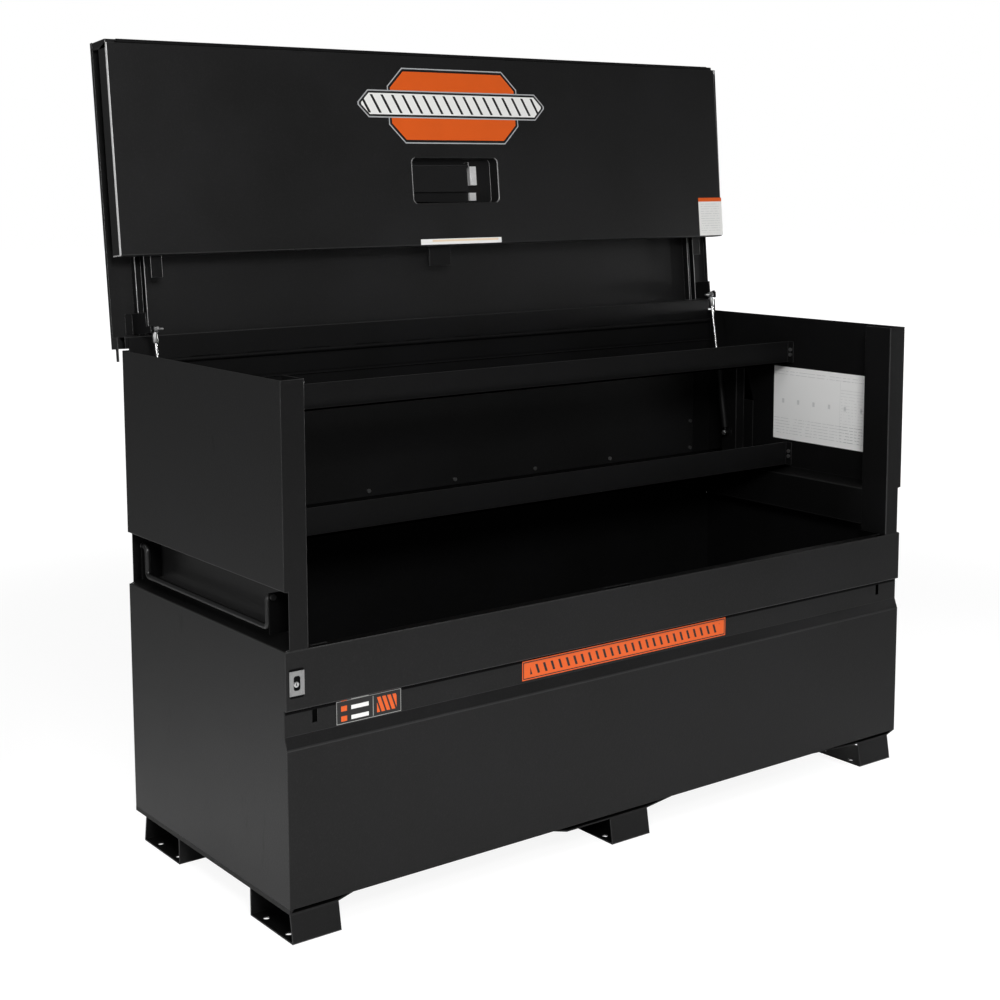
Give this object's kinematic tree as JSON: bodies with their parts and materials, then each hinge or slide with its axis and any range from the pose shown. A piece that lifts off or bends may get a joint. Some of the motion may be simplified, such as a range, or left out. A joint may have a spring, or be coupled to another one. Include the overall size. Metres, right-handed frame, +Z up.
{
  "type": "jobsite box",
  "caption": "Steel jobsite storage chest with a lean-back lid, a folding front leaf, two shelves, bail handles and bolt-down feet.",
  "frame": {"origin": "centre of the open box's footprint at the feet's undersides", "axes": "+X to the right seen from the front, +Y to the rear, +Z up; the front faces -Y"},
  "size_m": [1.856, 0.818, 1.8296],
  "materials": {
    "black_coat": "satin textured powder coat",
    "dark_coat": "satin powder coat on folded and welded inner parts",
    "foot_coat": "matt black coat on bent plate",
    "bare_steel": "bright zinc plated steel",
    "rod_chrome": "polished rod",
    "lock_chrome": "polished lock plate",
    "orange_film": "printed vinyl film, orange and black",
    "white_film": "printed vinyl film, white"
  },
  "bodies": {
    "box": {"floor_pan": "dark_coat", "front_panel": "black_coat", "rear_panel": "black_coat", "rear_header": "dark_coat", "shelf_back_panel": "dark_coat", "upper_shelf": "dark_coat", "lower_shelf": "dark_coat", "shelf_screws": "bare_steel", "cross_rails": "foot_coat", "foot_front_left": "foot_coat", "foot_front_middle": "foot_coat", "foot_front_right": "foot_coat", "foot_rear_left": "foot_coat", "foot_rear_middle": "foot_coat", "foot_rear_right": "foot_coat", "side_panel_left": "black_coat", "corner_post_left": "black_coat", "strut_channel_left": "dark_coat", "bail_brackets_left": "dark_coat", "side_panel_right": "black_coat", "corner_post_right": "black_coat", "strut_channel_right": "dark_coat", "bail_brackets_right": "dark_coat", "port_plate": "black_coat", "rear_hinge_leaf": "dark_coat", "rear_hinge_pin": "bare_steel", "accent_strip": "orange_film", "front_tag": "orange_film", "wall_card": "white_film"},
    "lid": {"lid_panel": "black_coat", "lid_top_beam": "black_coat", "lid_rear_rail": "dark_coat", "lid_hinge_leaf": "dark_coat", "beam_hinge_leaf": "dark_coat", "lid_stiffener_left": "dark_coat", "lid_stiffener_right": "dark_coat", "lid_strut_plate_left": "dark_coat", "lid_strut_plate_right": "dark_coat"},
    "front_leaf": {"leaf_panel": "black_coat", "leaf_hinge_leaf": "dark_coat", "leaf_hinge_pin": "bare_steel", "latch_cup": "dark_coat", "lock_plate": "lock_chrome", "catch_guide": "dark_coat", "corner_hook_left": "dark_coat", "corner_hook_right": "dark_coat", "leaf_badge": "orange_film", "leaf_edge_strip": "white_film", "leaf_corner_tag": "white_film"},
    "latch_handle": {"latch_handle": "dark_coat"},
    "centre_catch": {"centre_catch": "dark_coat"},
    "strut_tube_left": {"strut_tube_left": "dark_coat"},
    "strut_rod_left": {"strut_rod_left": "rod_chrome"},
    "bail_left": {"bail_left": "dark_coat"},
    "strut_tube_right": {"strut_tube_right": "dark_coat"},
    "strut_rod_right": {"strut_rod_right": "rod_chrome"},
    "bail_right": {"bail_right": "dark_coat"}
  },
  "joints": [
    {"name": "lid_hinge", "type": "hinge", "parent": "box", "child": "lid", "pos_m": [0, 0.30203, 1.108], "axis": [1, 0, 0], "range_deg": [0, 76]},
    {"name": "leaf_hinge", "type": "hinge", "parent": "lid", "child": "front_leaf", "pos_m": [0, 0.33039, 1.82508], "axis": [-1, 0, 0], "range_deg": [0, 90]},
    {"name": "latch_pull", "type": "hinge", "parent": "front_leaf", "child": "latch_handle", "pos_m": [0, 0.3211, 1.55121], "axis": [-1, 0, 0], "range_deg": [0, 35]},
    {"name": "catch_slide", "type": "slide", "parent": "front_leaf", "child": "centre_catch", "axis": [0, 0.0958, 0.9954], "range_m": [0, 0.012]},
    {"name": "strut_swing_left", "type": "hinge", "parent": "box", "child": "strut_tube_left", "pos_m": [-0.861, 0.19104, 0.798], "axis": [1, 0, 0], "range_deg": [0, 4.96]},
    {"name": "strut_stroke_left", "type": "slide", "parent": "strut_tube_left", "child": "strut_rod_left", "axis": [0, 0.1701, 0.9854], "range_m": [-0.107, 0]},
    {"name": "bail_swing_left", "type": "hinge", "parent": "box", "child": "bail_left", "pos_m": [-0.905, -0.04197, 0.698], "axis": [0, 1, 0], "range_deg": [0, 90]},
    {"name": "strut_swing_right", "type": "hinge", "parent": "box", "child": "strut_tube_right", "pos_m": [0.861, 0.19104, 0.798], "axis": [1, 0, 0], "range_deg": [0, 4.96]},
    {"name": "strut_stroke_right", "type": "slide", "parent": "strut_tube_right", "child": "strut_rod_right", "axis": [0, 0.1701, 0.9854], "range_m": [-0.107, 0]},
    {"name": "bail_swing_right", "type": "hinge", "parent": "box", "child": "bail_right", "pos_m": [0.905, -0.04197, 0.698], "axis": [0, -1, 0], "range_deg": [0, 90]}
  ],
  "couplings": [
    {"joint": "catch_slide", "follows": "latch_pull", "m_per_rad": 0.019481},
    {"joint": "strut_swing_left", "follows": "lid_hinge", "ratio": 0.063986},
    {"joint": "strut_stroke_left", "follows": "lid_hinge", "m_per_rad": -0.080297},
    {"joint": "strut_swing_right", "follows": "lid_hinge", "ratio": 0.063986},
    {"joint": "strut_stroke_right", "follows": "lid_hinge", "m_per_rad": -0.080297}
  ]
}
